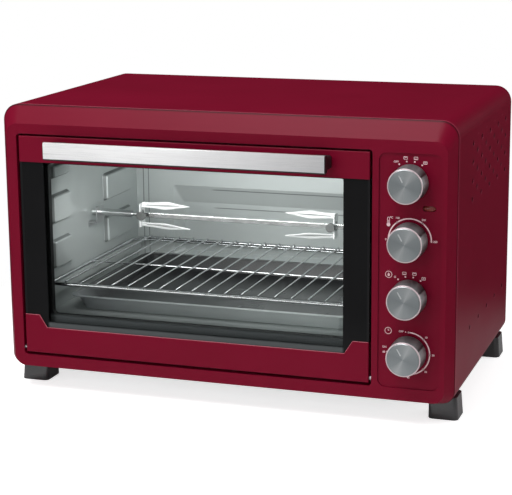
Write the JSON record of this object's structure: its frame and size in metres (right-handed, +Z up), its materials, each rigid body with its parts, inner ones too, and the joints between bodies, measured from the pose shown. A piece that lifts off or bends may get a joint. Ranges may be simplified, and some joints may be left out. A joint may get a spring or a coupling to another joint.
{
  "type": "countertop oven",
  "caption": "Electric countertop oven with a drop-down glass door, a column of dials, a wire rack, a baking tray and a turning spit.",
  "frame": {"origin": "on the surface the oven stands on, under the middle of its box", "axes": "+X to the right seen from the front, along the width; +Y from the front to the back; +Z up"},
  "size_m": [0.55, 0.364, 0.347],
  "materials": {
    "red_paint": "glossy dark red stoved paint",
    "zinc_steel": "plain zinc-coated sheet",
    "foot_plastic": "moulded black plastic",
    "pin_steel": "turned or cut plain steel",
    "amber_lens": "amber moulded lens",
    "inner_plastic": "moulded heat-proof plastic",
    "dark_chrome": "dark chromed fluted plastic",
    "spun_aluminium": "circular brushed face",
    "door_glass": "clear toughened pane",
    "black_enamel": "black stoved enamel",
    "handle_plastic": "black moulded bar",
    "handle_steel": "lengthwise brushed plate",
    "cavity_steel": "bright aluminised sheet",
    "heater_sheath": "satin stainless sheath",
    "ceramic": "glazed ceramic",
    "rack_chrome": "chromed wire",
    "tray_enamel": "black enamel",
    "spit_steel": "plated steel"
  },
  "bodies": {
    "oven": {"outer_casing": "red_paint", "base_plate": "zinc_steel", "front_feet": "foot_plastic", "rear_feet": "foot_plastic", "front_panel": "red_paint", "hinge_bushes": "pin_steel", "control_panel": "red_paint", "pilot_lens": "amber_lens", "lamp_holder": "inner_plastic", "rotary_switches": "inner_plastic", "thermostat": "zinc_steel", "timer": "zinc_steel", "cavity_front_frame": "cavity_steel", "cavity_left_wall": "cavity_steel", "cavity_right_wall": "cavity_steel", "cavity_ceiling": "cavity_steel", "cavity_floor": "cavity_steel", "lower_reflector": "cavity_steel", "cavity_back": "cavity_steel", "heat_shield": "zinc_steel", "upper_heating_rods": "heater_sheath", "lower_heating_rods": "heater_sheath", "heater_sleeves": "ceramic", "spit_motor": "zinc_steel", "spit_bracket": "cavity_steel", "back_panel": "zinc_steel", "cord_gland": "inner_plastic", "body_screws": "pin_steel", "terminal_block": "inner_plastic"},
    "door": {"door_top_rail": "red_paint", "door_bottom_rail": "red_paint", "door_glass": "door_glass", "door_inner_frame": "black_enamel", "door_liner": "black_enamel", "hinge_pins": "pin_steel", "door_arms": "pin_steel", "handle_bar": "handle_plastic", "handle_plate": "handle_steel", "handle_screws": "pin_steel"},
    "rack": {"wire_rack": "rack_chrome"},
    "tray": {"baking_tray": "tray_enamel"},
    "spit": {"spit_rod": "spit_steel", "drive_socket": "spit_steel"},
    "fork_left": {"left_fork": "spit_steel", "left_fork_screw": "spit_steel"},
    "fork_right": {"right_fork": "spit_steel", "right_fork_screw": "spit_steel"},
    "heat_knob": {"heat_dial": "dark_chrome", "heat_dial_cap": "spun_aluminium", "heat_dial_spindle": "pin_steel"},
    "thermostat_knob": {"thermostat_dial": "dark_chrome", "thermostat_dial_cap": "spun_aluminium", "thermostat_dial_spindle": "pin_steel"},
    "function_knob": {"function_dial": "dark_chrome", "function_dial_cap": "spun_aluminium", "function_dial_spindle": "pin_steel"},
    "timer_knob": {"timer_dial": "dark_chrome", "timer_dial_cap": "spun_aluminium", "timer_dial_spindle": "pin_steel"}
  },
  "joints": [
    {"name": "door_hinge", "type": "hinge", "parent": "oven", "child": "door", "pos_m": [-0.03565, -0.151, 0.051], "axis": [1, 0, 0], "range_deg": [0, 90]},
    {"name": "rack_slide", "type": "slide", "parent": "oven", "child": "rack", "axis": [0, -1, 0], "range_m": [0, 0.103]},
    {"name": "tray_slide", "type": "slide", "parent": "oven", "child": "tray", "axis": [0, -1, 0], "range_m": [-0.013, 0.024]},
    {"name": "spit_spin", "type": "hinge", "parent": "oven", "child": "spit", "pos_m": [-0.03565, 0.009, 0.189], "axis": [1, 0, 0], "continuous": true},
    {"name": "left_fork_slide", "type": "slide", "parent": "spit", "child": "fork_left", "axis": [1, 0, 0], "range_m": [0, 0.06]},
    {"name": "right_fork_slide", "type": "slide", "parent": "spit", "child": "fork_right", "axis": [1, 0, 0], "range_m": [-0.06, 0.05]},
    {"name": "heat_turn", "type": "hinge", "parent": "oven", "child": "heat_knob", "pos_m": [0.2242, -0.156, 0.2793], "axis": [0, 1, 0], "range_deg": [0, 68]},
    {"name": "thermostat_turn", "type": "hinge", "parent": "oven", "child": "thermostat_knob", "pos_m": [0.2242, -0.156, 0.2145], "axis": [0, 1, 0], "range_deg": [-60, 120]},
    {"name": "function_turn", "type": "hinge", "parent": "oven", "child": "function_knob", "pos_m": [0.2242, -0.156, 0.1497], "axis": [0, 1, 0], "range_deg": [0, 68]},
    {"name": "timer_turn", "type": "hinge", "parent": "oven", "child": "timer_knob", "pos_m": [0.2242, -0.156, 0.0849], "axis": [0, 1, 0], "range_deg": [0, 300]}
  ],
  "couplings": [
    {"joint": "rack_slide", "follows": "door_hinge", "m_per_rad": 0.065}
  ]
}
